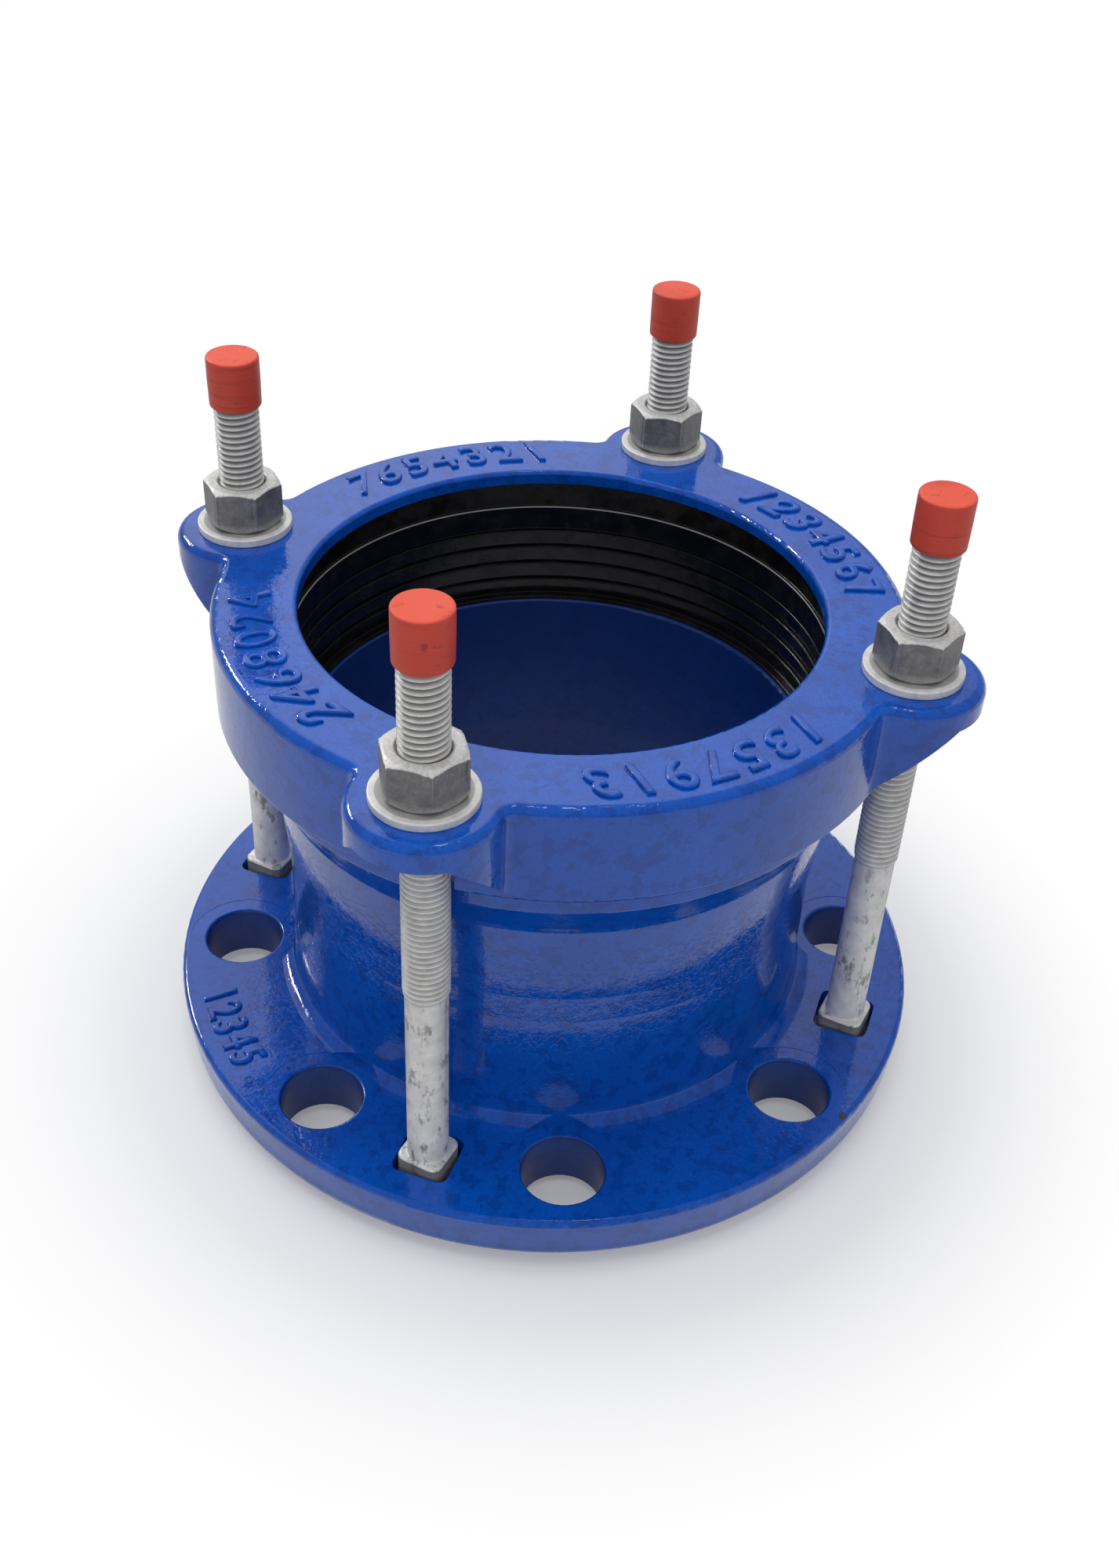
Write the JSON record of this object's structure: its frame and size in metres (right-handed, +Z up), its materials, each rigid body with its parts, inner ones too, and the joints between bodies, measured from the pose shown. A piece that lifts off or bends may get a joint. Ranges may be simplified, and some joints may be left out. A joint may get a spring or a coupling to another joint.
{
  "type": "universal flange adaptor",
  "caption": "Flange adaptor for pipe: a flanged socket casting, a gland ring clamped down on a rubber gasket by long bolts with washers, nuts and plastic thread caps.",
  "frame": {"origin": "centre of the raised face that the adaptor stands on", "axes": "+Z up the pipe's axis, from the flange to the gland ring; the clamp bolts lie on X and Y"},
  "size_m": [0.224, 0.224, 0.1905],
  "materials": {
    "blue_casting": "ductile iron with a glossy blue epoxy coat",
    "rubber": "black satin rubber",
    "galvanised": "hot-dip galvanised steel, dull grey",
    "nut_steel": "galvanised steel, darker grey",
    "cap_plastic": "matt red plastic"
  },
  "bodies": {
    "body": {"flange_body": "blue_casting", "gasket": "rubber", "bolt_1": "galvanised", "bolt_2": "galvanised", "bolt_3": "galvanised", "bolt_4": "galvanised"},
    "gland": {"gland_ring": "blue_casting", "washer_1": "galvanised", "washer_2": "galvanised", "washer_3": "galvanised", "washer_4": "galvanised"},
    "clamp_nut_1": {"nut_1": "nut_steel"},
    "clamp_nut_2": {"nut_2": "nut_steel"},
    "clamp_nut_3": {"nut_3": "nut_steel"},
    "clamp_nut_4": {"nut_4": "nut_steel"},
    "end_cap_1": {"thread_cap_1": "cap_plastic"},
    "end_cap_2": {"thread_cap_2": "cap_plastic"},
    "end_cap_3": {"thread_cap_3": "cap_plastic"},
    "end_cap_4": {"thread_cap_4": "cap_plastic"}
  },
  "joints": [
    {"name": "gland_slide", "type": "slide", "parent": "body", "child": "gland", "axis": [0, 0, 1], "range_m": [-0.012, 0], "deforming": ["gasket"]},
    {"name": "nut_1_turn", "type": "hinge", "parent": "gland", "child": "clamp_nut_1", "pos_m": [0.09325, 0, 0.1427], "axis": [0, 0, 1], "range_deg": [-2469, 0]},
    {"name": "nut_2_turn", "type": "hinge", "parent": "gland", "child": "clamp_nut_2", "pos_m": [0, 0.09325, 0.1427], "axis": [0, 0, 1], "range_deg": [-2469, 0]},
    {"name": "nut_3_turn", "type": "hinge", "parent": "gland", "child": "clamp_nut_3", "pos_m": [-0.09325, 0, 0.1427], "axis": [0, 0, 1], "range_deg": [-2469, 0]},
    {"name": "nut_4_turn", "type": "hinge", "parent": "gland", "child": "clamp_nut_4", "pos_m": [0, -0.09325, 0.1427], "axis": [0, 0, 1], "range_deg": [-2469, 0]},
    {"name": "cap_1_pull", "type": "slide", "parent": "body", "child": "end_cap_1", "axis": [0, 0, 1], "range_m": [0, 0.013]},
    {"name": "cap_2_pull", "type": "slide", "parent": "body", "child": "end_cap_2", "axis": [0, 0, 1], "range_m": [0, 0.013]},
    {"name": "cap_3_pull", "type": "slide", "parent": "body", "child": "end_cap_3", "axis": [0, 0, 1], "range_m": [0, 0.013]},
    {"name": "cap_4_pull", "type": "slide", "parent": "body", "child": "end_cap_4", "axis": [0, 0, 1], "range_m": [0, 0.013]}
  ],
  "couplings": [
    {"joint": "nut_1_turn", "follows": "gland_slide", "rad_per_m": 3590.4},
    {"joint": "nut_2_turn", "follows": "gland_slide", "rad_per_m": 3590.4},
    {"joint": "nut_3_turn", "follows": "gland_slide", "rad_per_m": 3590.4},
    {"joint": "nut_4_turn", "follows": "gland_slide", "rad_per_m": 3590.4}
  ]
}
